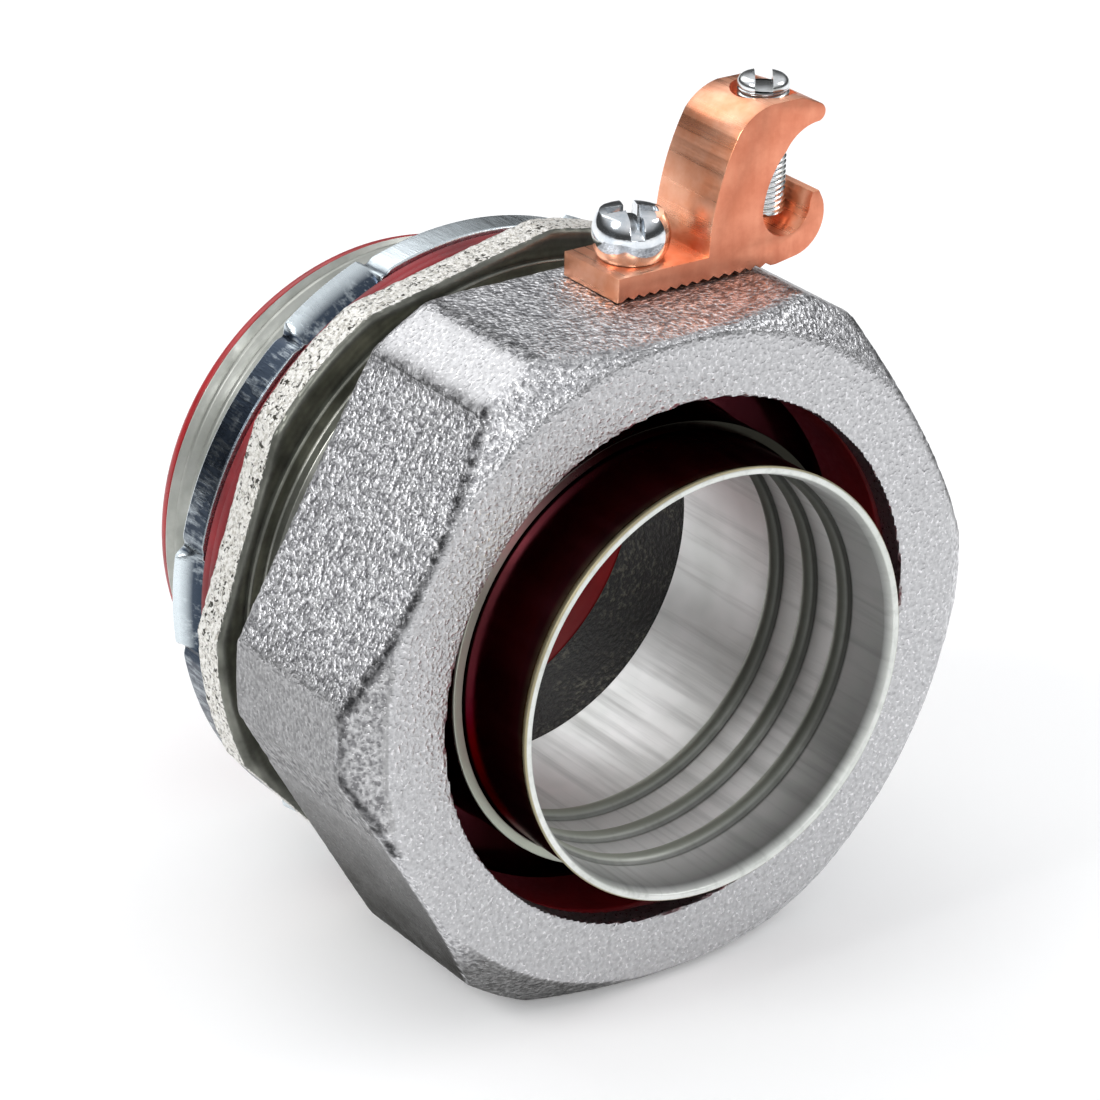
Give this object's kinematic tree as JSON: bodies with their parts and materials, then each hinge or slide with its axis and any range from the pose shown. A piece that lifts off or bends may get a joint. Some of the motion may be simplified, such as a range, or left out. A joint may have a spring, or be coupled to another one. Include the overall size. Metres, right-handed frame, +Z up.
{
  "type": "liquidtight conduit connector",
  "caption": "Straight liquidtight conduit connector: threaded flanged body with insulated throat, gland nut over a grip ferrule, locknut, gasket and a lay-in grounding lug.",
  "frame": {"origin": "on the conduit axis, on the flange face that seats on the wall of the box", "axes": "+Y along the axis towards the inside of the box, the conduit enters at -Y, +Z up through the grounding lug"},
  "size_m": [0.0826, 0.0647, 0.0961],
  "materials": {
    "cast_zinc_plated": "zinc plated malleable iron, rough cast skin",
    "plated_steel": "bright zinc plated pressed steel",
    "locknut_steel": "bluish zinc plated steel",
    "screw_steel": "bright zinc plated steel",
    "red_liner": "red moulded plastic",
    "red_rubber": "dark red rubber",
    "dark_red_ring": "dark red moulded plastic",
    "copper": "extruded copper, machined faces"
  },
  "bodies": {
    "fitting": {"body": "cast_zinc_plated", "throat_liner": "red_liner", "sealing_gasket": "red_rubber", "ferrule": "plated_steel"},
    "seal": {"sealing_ring": "dark_red_ring"},
    "nut": {"gland_nut": "cast_zinc_plated", "ground_lug": "copper", "lug_screw": "screw_steel"},
    "clamp": {"clamp_screw": "screw_steel"},
    "locknut": {"locknut": "locknut_steel"}
  },
  "joints": [
    {"name": "seal_travel", "type": "slide", "parent": "fitting", "child": "seal", "axis": [0, 1, 0], "range_m": [-0.0054, 0.0022]},
    {"name": "nut_turn", "type": "hinge", "parent": "seal", "child": "nut", "pos_m": [0, -0.024, 0], "axis": [0, 1, 0], "range_deg": [-900, 360]},
    {"name": "clamp_travel", "type": "slide", "parent": "nut", "child": "clamp", "axis": [0, 0, 1], "range_m": [0, 0.0075]},
    {"name": "locknut_travel", "type": "slide", "parent": "fitting", "child": "locknut", "axis": [0, 1, 0], "range_m": [0, 0.0115]}
  ],
  "couplings": [
    {"joint": "seal_travel", "follows": "nut_turn", "m_per_rad": 0.0003369}
  ]
}
